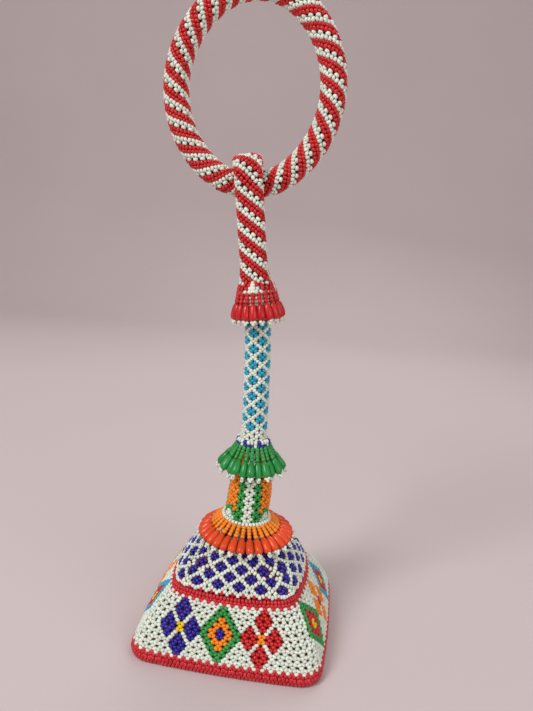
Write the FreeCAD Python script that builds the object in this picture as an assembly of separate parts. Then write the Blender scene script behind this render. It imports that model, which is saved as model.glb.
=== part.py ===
"""Beaded rattle: a netted pyramid head, a bowed stem, a rope loop and a ring handle.

Millimetres, +Z up, origin at the middle of the base that it stands on, front face towards -Y.
The stem follows a gentle bow, so its pieces are placed by their distance s along it.
"""
import FreeCAD
import Part
import math
import os

V = FreeCAD.Vector

# ---- beads, cloth and clearances shared by the whole rattle
BEAD_LAYER = 2.3          # thickness of one layer of seed-bead net
LINING = 0.9              # padded cloth under the net
WRAP = 0.6                # cloth wound round the stem under its net
FIT = 0.05                # still parts that slip over one another
RUNNING_GAP = 0.3         # between parts that move past one another

# ---- head
BASE_HALF = 51.4          # half width at the widest level, just above the base
BASE_TUCK = 0.8           # how far the foot draws in below that level
BELLY_Z = 4.0             # height of the widest level
RIM_HEIGHT = 4.8          # red rim round the foot
BORDER_HALF = 36.6        # half width where the skirt meets the yoke
BORDER_Z = 32.0
BORDER_HEIGHT = 4.2
BORDER_DROP = 0.4         # how far the red border reaches below the crease under the yoke
CROWN_Z = 60.0            # where the stem's axis leaves the head
CROWN_RADIUS = 12.3
SKIRT_BULGE = 2.2         # how far the skirt's profile stands out of a straight line
CORNER_RADIUS = 12.0      # plan radius of the head's corners
YOKE_CORNER = 19.0        # the largest plan radius, in the yoke
YOKE_ROUNDING = 1.65      # power that shapes the yoke's profile: 1 is a cone, more is rounder
BASE_BOW = 1.3            # outward bow of each side in plan, at the base
BORDER_BOW = 3.2          # the same at the border
SHELL_WALL = 2.2
CLOTH_BASE = 0.9
BOARD = 3.2

# ---- stem, which bows in the XZ plane
BOW_RADIUS = 940.0
CROWN_LEAN = 3.2          # degrees from vertical towards +X where the stem leaves the head
CORE_RADIUS = 4.2
CORE_DEPTH = 10.0         # how far the core runs down into the plug
NECK_LENGTH = 42.0
STEM_LENGTH = 113.0       # from the crown to the top of the netted stem
NECK_SHAPE = [(0.0, 12.1), (0.21, 11.9), (0.43, 11.4), (0.64, 10.5), (0.81, 9.2), (1.0, 7.1)]
PLUG_RADIUS = 8.6
PLUG_BOTTOM = 2.0         # wood left under the core
FLANGE_RADIUS = 11.0
FLANGE_DEPTH = 6.8        # from the crown down to the flange
FLANGE_THICKNESS = 2.0

# ---- bands and fringe cords on the stem
CORD = 1.1                # thickness of the cord that a fringe hangs from
CORD_HEIGHT = 1.4
RING_BAND = 1.3           # thickness of the white ring and of the blue band
WHITE_RING_S = 2.7
WHITE_RING_HEIGHT = 2.1
ORANGE_CORD_S = 1.1
BLUE_BAND_S = NECK_LENGTH + 4.3
BLUE_BAND_HEIGHT = 3.0
GREEN_CORD_S = NECK_LENGTH + 2.7

# ---- fringe strands: small beads, one drop bead, a tip of three small beads
STRAND_RADIUS = 1.05
THREAD_RADIUS = 0.4
BORE_RADIUS = 0.5
TIP_RADIUS = 1.35
TIP_LENGTH = 2.4
DROP_END = 1.25
DROP_BELLY = 0.6          # where the drop is widest, as a share of its length
ORANGE_COUNT = 8          # strands in each quarter
GREEN_COUNT = 6
RED_COUNT = 5
ORANGE_BEADS = 5.2        # length of the small beads above the drop
ORANGE_DROP = 9.0
ORANGE_DROP_RADIUS = 2.05
GREEN_BEADS = 4.6
GREEN_DROP = 9.6
GREEN_DROP_RADIUS = 1.9
RED_BEADS = 4.6
RED_DROP = 9.6
RED_DROP_RADIUS = 2.0
ORANGE_TILT = 53.0        # degrees out from hanging, lying on the yoke
ORANGE_SETTLE = 6.8       # flatter by this on the low side of the leaning neck
GREEN_TILT, GREEN_STAGGER = 36.0, 4.0
RED_TILT = 13.0

# ---- knot at the stem's top, and the loop that swivels on it
KNOT_S = STEM_LENGTH + 4.0
KNOT_RADIUS = 5.2
LOOP_LEAN = -7.2          # degrees from vertical, towards -X
LOOP_REACH = 63.9         # from the knot to the middle of the ring's tube
LOOP_HALF_WIDTH = 7.4
LOOP_HALF_THICK = 5.0
LEG_GAP = 0.4             # between the two legs where they enter the binding
BINDING_WALL = 1.3
BINDING_BOTTOM = 1.5      # below the knot's centre
BINDING_SHOULDER = 4.0
BINDING_TOP = 14.5
BINDING_FOOT = 6.4
RED_CORD_Z = BINDING_TOP - 2.1

# ---- ring handle: an oval of four tangent arcs
RING_TUBE = 6.5
RING_HALF_WIDTH = 38.9    # to the middle of the tube
RING_HALF_HEIGHT = 45.8
RING_END_RADIUS = 32.5
LOOP_PLAY = 0.4           # between the ring and the loop round it

# ---- rattle seeds, lying on the base board
SEED_RADIUS = 2.6
INNER_SEEDS = 4
OUTER_SEEDS = 8
INNER_SEEDS_RADIUS = 10.0
OUTER_SEEDS_RADIUS = 24.0

QUARTERS = {"front": -90.0, "right": 0.0, "back": 90.0, "left": 180.0}
TALL = 400.0              # cutters reach past everything


def save(node, *solids):
    shape = solids[0] if len(solids) == 1 else Part.makeCompound(list(solids))
    shape.exportStep("parts/%s.step" % node)


def frame_rotation(lean):
    """Turns +Z towards +X by lean degrees."""
    return FreeCAD.Rotation(V(0, 1, 0), lean)


# ---- the stem's bow
def stem_lean(s):
    return CROWN_LEAN - math.degrees(s / BOW_RADIUS)


def stem_point(s):
    start, here = math.radians(CROWN_LEAN), math.radians(stem_lean(s))
    x = BOW_RADIUS * (math.cos(here) - math.cos(start))
    z = CROWN_Z + BOW_RADIUS * (math.sin(start) - math.sin(here))
    return V(x, 0, z)


def stem_direction(s):
    return frame_rotation(stem_lean(s)).multVec(V(0, 0, 1))


def bow_centre():
    lean = math.radians(CROWN_LEAN)
    return V(-BOW_RADIUS * math.cos(lean), 0, CROWN_Z + BOW_RADIUS * math.sin(lean))


def stem_circle(s, radius):
    return Part.Wire([Part.Circle(stem_point(s), stem_direction(s), radius).toShape()])


def stem_tube(low, high, outer, inner=0.0):
    """A length of bowed tube, or of bowed rod when inner is nought."""
    face = Part.Face(stem_circle(low, outer))
    if inner > 0:
        face = face.cut(Part.Face(stem_circle(low, inner))).Faces[0]
    sweep = math.degrees((high - low) / BOW_RADIUS)
    return face.revolve(bow_centre(), V(0, -1, 0), sweep).Solids[0]


def stem_loft(stations):
    return Part.makeLoft([stem_circle(s, r) for s, r in stations], True, False)


def stem_cylinder(low, high, radius):
    """A straight cylinder along the stem's direction at the crown."""
    axis = stem_direction(0)
    return Part.makeCylinder(radius, high - low, stem_point(0) + axis * low, axis)


# ---- the head's outer form: rounded squares with bowed sides, lofted
def pillow_wire(half, corner, bow, z):
    """A rounded square: four long arcs for the sides and four short ones for the corners."""
    corner = min(corner, 0.985 * half)
    straight = half - corner
    side = max(straight ** 2 / (2 * bow), 1.02 * half)
    offset = side - half
    middle = (math.sqrt(max(2 * (side - corner) ** 2 - offset ** 2, 0)) - offset) / 2
    turn = math.atan2(middle, middle + offset)
    edges = []
    for quarter in range(4):
        spin = FreeCAD.Rotation(V(0, 0, 1), 90 * quarter)

        def on_side(angle):
            return spin.multVec(V(side * math.cos(angle) - offset, side * math.sin(angle), z))

        def on_corner(angle):
            return spin.multVec(V(middle + corner * math.cos(angle), middle + corner * math.sin(angle), z))

        edges.append(Part.Arc(on_side(-turn), on_side(0), on_side(turn)).toShape())
        far = math.pi / 2 - turn
        edges.append(Part.Arc(on_side(turn), on_corner(math.pi / 4), on_corner(far)).toShape())
    return Part.Wire(edges)


def head_profile():
    """Levels of the outer form as (z, half width, corner radius, side bow)."""
    levels = [(0.0, BASE_HALF - BASE_TUCK, CORNER_RADIUS, BASE_BOW),
              (BELLY_Z, BASE_HALF, CORNER_RADIUS, BASE_BOW)]
    for share in (0.25, 0.5, 0.75, 1.0):
        z = BELLY_Z + share * (BORDER_Z - BELLY_Z)
        half = BASE_HALF + share * (BORDER_HALF - BASE_HALF) + 4 * SKIRT_BULGE * share * (1 - share)
        levels.append((z, half, CORNER_RADIUS, BASE_BOW + share * (BORDER_BOW - BASE_BOW)))
    for share in (0.25, 0.5, 0.75, 0.9, 1.0, 1.1):
        z = BORDER_Z + share * (CROWN_Z - BORDER_Z)
        half = CROWN_RADIUS + (BORDER_HALF - CROWN_RADIUS) * (1 - share ** YOKE_ROUNDING)
        corner = CORNER_RADIUS + (YOKE_CORNER - CORNER_RADIUS) * min(1.6 * share, 1)
        levels.append((z, half, corner, max(BORDER_BOW * (1 - share), 0.05)))
    return levels


def head_form(inset):
    """The solid inside the outer form by inset, measured square to the surface.

    Skirt and yoke are two lofts that share the section in the crease between them.
    """
    levels = head_profile()
    wires = []
    for index, (z, half, corner, bow) in enumerate(levels):
        if index < 2:
            out, up = 1.0, 0.0
        else:
            before, after = levels[index - 1], levels[min(index + 1, len(levels) - 1)]
            run, rise = after[1] - before[1], after[0] - before[0]
            length = math.hypot(run, rise)
            out, up = rise / length, -run / length
        wires.append(pillow_wire(half - inset * out, corner - inset * out, bow, z - inset * up))
    crease = [level[0] for level in levels].index(BORDER_Z)
    skirt = Part.makeLoft(wires[:crease + 1], True, False)
    return skirt.fuse(Part.makeLoft(wires[crease:], True, False))


def slab(low, high):
    return Part.makeBox(TALL, TALL, high - low, V(-TALL / 2, -TALL / 2, low))


def above_crown():
    block = Part.makeBox(TALL, TALL, TALL, V(-TALL / 2, -TALL / 2, 0))
    block.Placement = FreeCAD.Placement(stem_point(0), frame_rotation(CROWN_LEAN)).multiply(block.Placement)
    return block


def layer(outside, inside, low, high):
    """The part of a head layer between two levels, open where the plug passes."""
    bore = stem_cylinder(-TALL / 8, TALL / 8, PLUG_RADIUS + FIT)
    shape = outside.cut(inside).common(slab(low, high)).cut(above_crown()).cut(bore)
    return shape.Solids[0]


def build_head():
    lining_in = BEAD_LAYER + LINING
    skin, lining = head_form(0), head_form(BEAD_LAYER)
    shell, hollow = head_form(lining_in), head_form(lining_in + SHELL_WALL)
    border_low = BORDER_Z - BORDER_DROP
    border_high = border_low + BORDER_HEIGHT
    save("bottom_rim", layer(skin, lining, 0, RIM_HEIGHT))
    save("skirt_net", layer(skin, lining, RIM_HEIGHT, border_low))
    save("middle_border", layer(skin, lining, border_low, border_high))
    save("yoke_net", layer(skin, lining, border_high, TALL))
    save("head_lining", layer(lining, shell, CLOTH_BASE, TALL))
    save("head_shell", layer(shell, hollow, CLOTH_BASE, TALL))
    save("base_cloth", lining.common(slab(0, CLOTH_BASE)).Solids[0])
    board = head_form(lining_in + SHELL_WALL + FIT)
    save("base_board", board.common(slab(CLOTH_BASE, CLOTH_BASE + BOARD)).Solids[0])


def seed_height():
    return CLOTH_BASE + BOARD + RUNNING_GAP + SEED_RADIUS


def build_seeds():
    seeds = []
    for radius, count in ((INNER_SEEDS_RADIUS, INNER_SEEDS), (OUTER_SEEDS_RADIUS, OUTER_SEEDS)):
        for index in range(count):
            angle = 2 * math.pi * (index + 0.5) / count
            middle = V(radius * math.cos(angle), radius * math.sin(angle), seed_height())
            seeds.append(Part.makeSphere(SEED_RADIUS, middle))
    save("rattle_seeds", *seeds)


# ---- stem
def net_radius():
    return CORE_RADIUS + WRAP + BEAD_LAYER


def neck_stations(inset):
    return [(share * NECK_LENGTH, radius - inset) for share, radius in NECK_SHAPE]


def build_stem():
    plug = stem_cylinder(-CORE_DEPTH - PLUG_BOTTOM, 0, PLUG_RADIUS)
    plug = plug.fuse(stem_cylinder(-FLANGE_DEPTH - FLANGE_THICKNESS, -FLANGE_DEPTH, FLANGE_RADIUS))
    socket = stem_tube(-CORE_DEPTH, FIT, CORE_RADIUS + FIT)
    save("neck_plug", plug.cut(socket).Solids[0])
    save("stem_core", stem_tube(-CORE_DEPTH, STEM_LENGTH, CORE_RADIUS))
    neck_form, padding_form = stem_loft(neck_stations(0)), stem_loft(neck_stations(BEAD_LAYER))
    save("neck_net", neck_form.cut(padding_form).Solids[0])
    hole = stem_tube(-FIT, NECK_LENGTH + FIT, CORE_RADIUS + FIT)
    save("neck_padding", padding_form.cut(hole).Solids[0])
    save("stem_wrap", stem_tube(NECK_LENGTH, STEM_LENGTH, CORE_RADIUS + WRAP, CORE_RADIUS + FIT))
    save("stem_net", stem_tube(NECK_LENGTH, STEM_LENGTH, net_radius(), CORE_RADIUS + WRAP + FIT))
    knot = Part.makeSphere(KNOT_RADIUS, stem_point(KNOT_S))
    core_end = stem_tube(KNOT_S - 2 * KNOT_RADIUS, STEM_LENGTH, CORE_RADIUS + FIT)
    save("stem_knot", knot.cut(core_end).Solids[0])


def neck_radius_at(s):
    """Outer radius of the neck's net near the crown, where its sides are almost straight."""
    (low, wide), (high, narrow) = NECK_SHAPE[0], NECK_SHAPE[1]
    return wide + (narrow - wide) * s / ((high - low) * NECK_LENGTH)


def band(low, height, bore, thickness):
    return stem_tube(low, low + height, bore + FIT + thickness, bore + FIT)


def build_bands():
    save("white_ring", band(WHITE_RING_S, WHITE_RING_HEIGHT, neck_radius_at(0), RING_BAND))
    save("orange_fringe_cord", band(ORANGE_CORD_S, CORD_HEIGHT, neck_radius_at(0), CORD))
    save("blue_band", band(BLUE_BAND_S, BLUE_BAND_HEIGHT, net_radius(), RING_BAND))
    save("green_fringe_cord", band(GREEN_CORD_S, CORD_HEIGHT, net_radius(), CORD))


# ---- fringes
def revolved(points):
    """A solid turned about Z from its outline.

    A point is (radius, z), or (radius, z, radius, z of a point on the way) for an arc.
    """
    edges = []
    for before, after in zip(points, points[1:] + points[:1]):
        start, end = V(before[0], 0, before[1]), V(after[0], 0, after[1])
        if len(after) == 4:
            edges.append(Part.Arc(start, V(after[2], 0, after[3]), end).toShape())
        else:
            edges.append(Part.LineSegment(start, end).toShape())
    return Part.Face(Part.Wire(edges)).revolve(V(0, 0, 0), V(0, 0, 1), 360).Solids[0]


def hanging_strand(beads, drop):
    """The threaded small beads and tip of one strand, hanging down from the origin."""
    low = -beads - drop
    end = low - TIP_LENGTH
    mid = (low + end) / 2
    return revolved([(0, 0), (STRAND_RADIUS, 0), (STRAND_RADIUS, -beads), (THREAD_RADIUS, -beads),
                     (THREAD_RADIUS, low), (STRAND_RADIUS, low),
                     (STRAND_RADIUS, end, TIP_RADIUS, mid), (0, end)])


def hanging_drop(beads, drop, radius):
    """The drop bead of one strand, with its bore."""
    low = -beads - drop
    return revolved([(BORE_RADIUS, -beads), (DROP_END, -beads),
                     (DROP_END, low, radius, -beads - DROP_BELLY * drop), (BORE_RADIUS, low)])


def hang(shape, root, azimuth, tilt, lean, origin):
    """Tilts a hanging shape outwards, sets it at root, and puts it in the frame of the stem or loop."""
    copy = shape.copy()
    angle = math.radians(azimuth)
    copy.rotate(V(0, 0, 0), V(math.sin(angle), -math.cos(angle), 0), tilt)
    copy.translate(root)
    copy.rotate(V(0, 0, 0), V(0, 1, 0), lean)
    copy.translate(origin)
    return copy


def quarter_azimuths(middle, count):
    """Directions of the strands in one quarter of a fringe."""
    step = 90.0 / count
    return [middle + step * (index - (count - 1) / 2) for index in range(count)]


def root_offset(cord_radius):
    """From the axis to a strand's root, just outside its cord."""
    return cord_radius + RUNNING_GAP + STRAND_RADIUS


def orange_root():
    return root_offset(neck_radius_at(0) + FIT + CORD)


def green_root():
    return root_offset(net_radius() + FIT + CORD)


def red_roots():
    """Half axes of the oval on which the red strands' roots lie."""
    across = LOOP_HALF_WIDTH + BINDING_WALL + FIT + CORD
    along = binding_half_length() + FIT + CORD
    return root_offset(across), root_offset(along)


def orange_tilt(azimuth):
    return ORANGE_TILT + ORANGE_SETTLE * math.cos(math.radians(azimuth))


def green_tilt(index):
    return GREEN_TILT + (GREEN_STAGGER if index % 2 else -GREEN_STAGGER)


def build_fringe(name, beads, drop, radius, places, lean, origin):
    """places gives, for each quarter, a list of (root, azimuth, tilt)."""
    strand, bead = hanging_strand(beads, drop), hanging_drop(beads, drop, radius)
    for quarter, spots in places.items():
        save("%s_strands_%s" % (name, quarter), *[hang(strand, *spot, lean, origin) for spot in spots])
        save("%s_drops_%s" % (name, quarter), *[hang(bead, *spot, lean, origin) for spot in spots])


def round_places(radius, count, tilt_of):
    places = {}
    for quarter, middle in QUARTERS.items():
        spots = []
        for index, azimuth in enumerate(quarter_azimuths(middle, count)):
            angle = math.radians(azimuth)
            root = V(radius * math.cos(angle), radius * math.sin(angle), 0)
            spots.append((root, azimuth, tilt_of(index, azimuth)))
        places[quarter] = spots
    return places


def oval_places(across, along, count, tilt):
    places = {}
    for quarter, middle in QUARTERS.items():
        spots = []
        for azimuth in quarter_azimuths(middle, count):
            angle = math.radians(azimuth)
            root = V(across * math.cos(angle), along * math.sin(angle), 0)
            outward = math.degrees(math.atan2(across * math.sin(angle), along * math.cos(angle)))
            spots.append((root, outward, tilt))
        places[quarter] = spots
    return places


def cord_middle(s):
    return s + CORD_HEIGHT / 2


def build_fringes():
    s = cord_middle(ORANGE_CORD_S)
    places = round_places(orange_root(), ORANGE_COUNT, lambda index, azimuth: orange_tilt(azimuth))
    sizes = (ORANGE_BEADS, ORANGE_DROP, ORANGE_DROP_RADIUS)
    build_fringe("orange", *sizes, places, stem_lean(s), stem_point(s))
    s = cord_middle(GREEN_CORD_S)
    places = round_places(green_root(), GREEN_COUNT, lambda index, azimuth: green_tilt(index))
    sizes = (GREEN_BEADS, GREEN_DROP, GREEN_DROP_RADIUS)
    build_fringe("green", *sizes, places, stem_lean(s), stem_point(s))
    places = oval_places(*red_roots(), RED_COUNT, RED_TILT)
    origin = loop_point(V(0, 0, cord_middle(RED_CORD_Z)))
    build_fringe("red", *(RED_BEADS, RED_DROP, RED_DROP_RADIUS), places, LOOP_LEAN, origin)


# ---- loop, in its own frame: origin at the knot, +Z along the loop
def loop_point(local):
    return stem_point(KNOT_S) + frame_rotation(LOOP_LEAN).multVec(local)


def in_loop(shape):
    shape.rotate(V(0, 0, 0), V(0, 1, 0), LOOP_LEAN)
    shape.translate(stem_point(KNOT_S))
    return shape


def binding_half_length():
    """Half the binding's length across both legs."""
    return LEG_GAP / 2 + 2 * LOOP_HALF_THICK + BINDING_WALL


def oval_face(half_x, half_y, z):
    """A flat oval, longer along Y."""
    curve = Part.Ellipse(V(0, half_y, z), V(half_x, 0, z), V(0, 0, z))
    return Part.Face(Part.Wire([curve.toShape()]))


def loop_bend():
    """Radius of the rope's middle where it goes over the ring."""
    return RING_TUBE + LOOP_PLAY + LOOP_HALF_THICK


def rope(half_width, half_thick):
    """The bent rope: an arc over the ring's tube and two straight legs tangent to it."""
    bend, reach = loop_bend(), LOOP_REACH
    foot_y, foot_z = LEG_GAP / 2 + LOOP_HALF_THICK, BINDING_TOP
    distance = math.hypot(foot_y, reach - foot_z)
    spread = math.asin(bend / distance) - math.atan2(foot_y, reach - foot_z)
    section = Part.Wire([Part.Ellipse(V(half_width, 0, 0), V(0, half_thick, 0), V(0, 0, 0)).toShape()])
    section.translate(V(0, -bend, 0))
    turned = section.copy()
    turned.rotate(V(0, 0, 0), V(1, 0, 0), math.degrees(spread))
    turned.translate(V(0, 0, reach))
    start = Part.Face(turned)
    solid = start.revolve(V(0, 0, reach), V(1, 0, 0), -180 - 2 * math.degrees(spread))
    long_leg = 1.2 * distance
    down = V(0, math.sin(spread), -math.cos(spread))
    leg = start.extrude(down * long_leg)
    other = leg.mirror(V(0, 0, 0), V(0, 1, 0))
    below = slab(-TALL, foot_z)
    return solid.fuse([leg.cut(below), other.cut(below)]).removeSplitter().Solids[0]


def build_loop():
    sleeve = rope(LOOP_HALF_WIDTH, LOOP_HALF_THICK)
    core_width = LOOP_HALF_WIDTH - BEAD_LAYER
    core_thick = LOOP_HALF_THICK - BEAD_LAYER
    save("loop_net", in_loop(sleeve.cut(rope(core_width, core_thick)).Solids[0]))
    save("loop_rope", in_loop(rope(core_width, core_thick)))
    half_x, half_y = LOOP_HALF_WIDTH + BINDING_WALL, binding_half_length()
    foot = Part.Wire([Part.Circle(V(0, 0, -BINDING_BOTTOM), V(0, 0, 1), BINDING_FOOT).toShape()])
    shoulder = oval_face(half_x, half_y, BINDING_SHOULDER)
    taper = Part.makeLoft([foot, shoulder.OuterWire], True, False)
    barrel = shoulder.extrude(V(0, 0, BINDING_TOP - BINDING_SHOULDER))
    socket = Part.makeSphere(KNOT_RADIUS + RUNNING_GAP)
    save("loop_binding", in_loop(taper.fuse(barrel).cut(socket).Solids[0]))
    inner, outer = FIT, FIT + CORD
    ring = oval_face(half_x + outer, half_y + outer, RED_CORD_Z)
    ring = ring.cut(oval_face(half_x + inner, half_y + inner, RED_CORD_Z)).Faces[0]
    save("red_fringe_cord", in_loop(ring.extrude(V(0, 0, CORD_HEIGHT))))


# ---- ring handle
def ring_bottom():
    """Middle of the ring's tube where the loop goes round it."""
    return loop_point(V(0, 0, LOOP_REACH))


def ring_bar(outer, inner=0.0):
    """The whole oval bar: two end arcs and two side arcs, each a part of a torus."""
    end = RING_HALF_HEIGHT - RING_END_RADIUS
    spare = RING_HALF_WIDTH - RING_END_RADIUS
    side = (RING_HALF_WIDTH ** 2 + end ** 2 - RING_END_RADIUS ** 2) / (2 * spare)
    turn = math.degrees(math.atan2(end, side - RING_HALF_WIDTH))
    middle = ring_bottom() + V(0, 0, RING_HALF_HEIGHT)
    arcs = []
    for centre, radius, start, sweep in (
            (V(0, 0, end), RING_END_RADIUS, turn, 180 - 2 * turn),
            (V(side - RING_HALF_WIDTH, 0, 0), side, 180 - turn, 2 * turn),
            (V(0, 0, -end), RING_END_RADIUS, 180 + turn, 180 - 2 * turn),
            (V(RING_HALF_WIDTH - side, 0, 0), side, -turn, 2 * turn)):
        angle = math.radians(start)
        spoke = V(math.cos(angle), 0, math.sin(angle))
        tangent = V(-math.sin(angle), 0, math.cos(angle))
        place = middle + centre + spoke * radius
        face = Part.Face(Part.Wire([Part.Circle(place, tangent, outer).toShape()]))
        if inner > 0:
            face = face.cut(Part.Face(Part.Wire([Part.Circle(place, tangent, inner).toShape()]))).Faces[0]
        arcs.append(face.revolve(middle + centre, V(0, -1, 0), sweep))
    return arcs[0].fuse(arcs[1:]).removeSplitter().Solids[0]


def build_ring():
    save("ring_net", ring_bar(RING_TUBE, RING_TUBE - BEAD_LAYER))
    save("ring_hoop", ring_bar(RING_TUBE - BEAD_LAYER))


os.makedirs("parts", exist_ok=True)
build_head()
build_seeds()
build_stem()
build_bands()
build_fringes()
build_loop()
build_ring()
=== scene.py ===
"""Beaded rattle with a ring handle: the netted beads, fringes and cloth, lit for a studio view.

Lengths are in millimetres up to the moment a mesh is made; +Z is up and the front faces -Y.
"""
import bmesh
import bpy
import math
import numpy as np
import random
from mathutils import Matrix, Vector, noise


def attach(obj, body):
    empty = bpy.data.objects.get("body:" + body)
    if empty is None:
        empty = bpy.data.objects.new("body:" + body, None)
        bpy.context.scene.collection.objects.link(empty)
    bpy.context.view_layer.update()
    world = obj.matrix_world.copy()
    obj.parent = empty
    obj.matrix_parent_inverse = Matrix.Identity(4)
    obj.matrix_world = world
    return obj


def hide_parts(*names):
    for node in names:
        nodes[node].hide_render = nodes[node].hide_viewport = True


MM = 0.001
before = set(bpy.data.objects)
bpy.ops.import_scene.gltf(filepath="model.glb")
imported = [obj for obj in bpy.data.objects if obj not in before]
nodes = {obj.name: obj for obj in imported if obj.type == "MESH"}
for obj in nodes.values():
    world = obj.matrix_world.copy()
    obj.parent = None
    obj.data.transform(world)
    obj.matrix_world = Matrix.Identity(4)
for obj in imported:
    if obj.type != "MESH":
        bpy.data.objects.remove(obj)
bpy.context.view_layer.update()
chance = random.Random(7)

# ---- camera
def add_object(name, data):
    added = bpy.data.objects.new(name, data)
    bpy.context.collection.objects.link(added)
    return added


camera = add_object("camera", bpy.data.cameras.new("camera"))
bpy.context.scene.camera = camera
camera.data.sensor_fit = "VERTICAL"
camera.data.sensor_height = 36.0
camera.data.lens = 30.38
camera.data.clip_start, camera.data.clip_end = 0.01, 20.0
turn = math.radians(7.57)
aim = (Matrix.Rotation(turn, 4, "Z") @ Matrix.Rotation(math.radians(-11.294), 4, "X")
       @ Matrix.Rotation(math.radians(-4.0), 4, "Y") @ Matrix.Rotation(math.radians(90), 4, "X"))
camera.matrix_world = Matrix.Translation(Vector((46.2, -307.7, 216.4)) * MM) @ aim

# ---- the rattle's own sizes
BEAD_LAYER = 2.3  # one layer of net
NET_MIDDLE = BEAD_LAYER / 2
SEED_BEAD = 2.5  # diameter of the common seed bead
SEED_LENGTH = 1.85
BASE_HALF, BASE_TUCK, BELLY_Z = 51.4, 0.8, 4.0
BORDER_HALF, BORDER_Z = 36.6, 32.0
CROWN_Z, CROWN_RADIUS = 60.0, 12.3
SKIRT_BULGE, CORNER_RADIUS, YOKE_CORNER, YOKE_ROUNDING = 2.2, 12.0, 19.0, 1.65
BASE_BOW, BORDER_BOW = 1.3, 3.2
BOW_RADIUS, CROWN_LEAN = 940.0, 3.2
CORE_RADIUS, NECK_LENGTH, STEM_LENGTH = 4.2, 42.0, 113.0
NECK_SHARES = (0.0, 0.21, 0.43, 0.64, 0.81, 1.0)
NECK_RADII = (12.1, 11.9, 11.4, 10.5, 9.2, 7.1)
STEM_NET = 7.1  # outer radius of the stem's net
WHITE_RING_S, BLUE_BAND_S = 2.7, NECK_LENGTH + 3.1
HALF_CORD = 0.7  # half the height of a fringe's cord
ORANGE_CORD_S, GREEN_CORD_S = 1.1 + HALF_CORD, NECK_LENGTH + 1.5 + HALF_CORD  # to its middle
KNOT_S, LOOP_LEAN, LOOP_REACH = STEM_LENGTH + 4.0, -7.2, 63.9
LOOP_HALF_WIDTH, LOOP_HALF_THICK, LEG_GAP = 7.4, 5.0, 0.4
BINDING_WALL, BINDING_BOTTOM, BINDING_SHOULDER, BINDING_TOP, BINDING_FOOT = 1.3, 1.5, 4.0, 14.5, 6.4
RED_CORD_FOOT = BINDING_TOP - 4.1
RED_CORD_Z = RED_CORD_FOOT + HALF_CORD
RING_TUBE, RING_HALF_WIDTH, RING_HALF_HEIGHT, RING_END_RADIUS = 6.5, 38.9, 45.8, 32.5
LOOP_PLAY = 0.4
QUARTERS = {"front": -90.0, "right": 0.0, "back": 90.0, "left": 180.0}


# ---- finishes
def srgb(red, green, blue):
    """A colour written as 0-255 display values."""
    def linear(value):
        value /= 255
        return value / 12.92 if value <= 0.04045 else ((value + 0.055) / 1.055) ** 2.4
    return (linear(red), linear(green), linear(blue), 1.0)


class Wire:
    """A socket in a finish's node tree; arithmetic on it adds Math nodes."""

    def __init__(self, finish, socket):
        self.finish, self.socket = finish, socket

    def math(self, operation, *values):
        return self.finish.node("ShaderNodeMath", {"operation": operation}, dict(enumerate(values)))

    def __add__(self, other):
        return self.math("ADD", self, other)

    def __sub__(self, other):
        return self.math("SUBTRACT", self, other)

    def __mul__(self, other):
        return self.math("MULTIPLY", self, other)

    def sine(self):
        return self.math("SINE", self)

    def clamped(self):
        return self.math("MINIMUM", self.math("MAXIMUM", self, 0.0), 1.0)


class Finish:
    """A procedural material built round one Principled shader."""

    def __init__(self, name, **settings):
        self.material = bpy.data.materials.new(name)
        self.material.use_nodes = True
        self.tree = self.material.node_tree
        self.shader = self.tree.nodes["Principled BSDF"]
        for setting, value in settings.items():
            socket = setting.replace("_", " ").title().replace("Ior", "IOR")
            self.shader.inputs[socket].default_value = value

    def node(self, kind, settings=None, values=None, output=0):
        made = self.tree.nodes.new(kind)
        for key, value in (settings or {}).items():
            if key == "stops":
                ramp = made.color_ramp
                while len(ramp.elements) < len(value):
                    ramp.elements.new(0.5)
                for element, (place, colour) in zip(ramp.elements, value):
                    element.position, element.color = place, colour
            else:
                setattr(made, key, value)
        for key, value in (values or {}).items():
            if isinstance(value, Wire):
                self.tree.links.new(value.socket, made.inputs[key])
            else:
                made.inputs[key].default_value = value
        return Wire(self, made.outputs[output])

    def set(self, socket, wire):
        self.tree.links.new(wire.socket, self.shader.inputs[socket])

    def place(self):
        return self.node("ShaderNodeTexCoord", output="Object")

    def mix(self, share, first, second):
        values = {0: share, 6: first, 7: second}
        return self.node("ShaderNodeMix", {"data_type": "RGBA"}, values, output=2)

    def noise(self, scale, detail=2.0):
        values = {"Vector": self.place(), "Scale": scale, "Detail": detail}
        return self.node("ShaderNodeTexNoise", None, values)

    def bump(self, height, strength, distance=0.0002):
        values = {"Height": height, "Strength": strength, "Distance": distance}
        self.set("Normal", self.node("ShaderNodeBump", None, values))


def glass(name, colour, pale=0.05, gloss=0.26):
    """Opaque glass beads: each a little lighter or darker, with a glossy, slightly uneven skin."""
    finish = Finish(name, specular_ior_level=0.4)
    shade = finish.node("ShaderNodeAttribute", {"attribute_name": "shade"}, output="Fac")
    deep = tuple(value * 0.78 for value in colour[:3]) + (1.0,)
    light = tuple(value + (1 - value) * pale for value in colour[:3]) + (1.0,)
    tone = finish.mix(shade, deep, colour)
    worn = (finish.noise(260.0, 3.0) * 2.2 - 0.75).clamped()
    finish.set("Base Color", finish.mix(worn * (shade * 0.5 + 0.25), tone, light))
    finish.set("Roughness", finish.noise(900.0) * 0.22 + (gloss - 0.08) + shade * 0.06)
    finish.bump(finish.noise(1400.0, 1.0), 0.12)
    return finish.material


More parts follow.
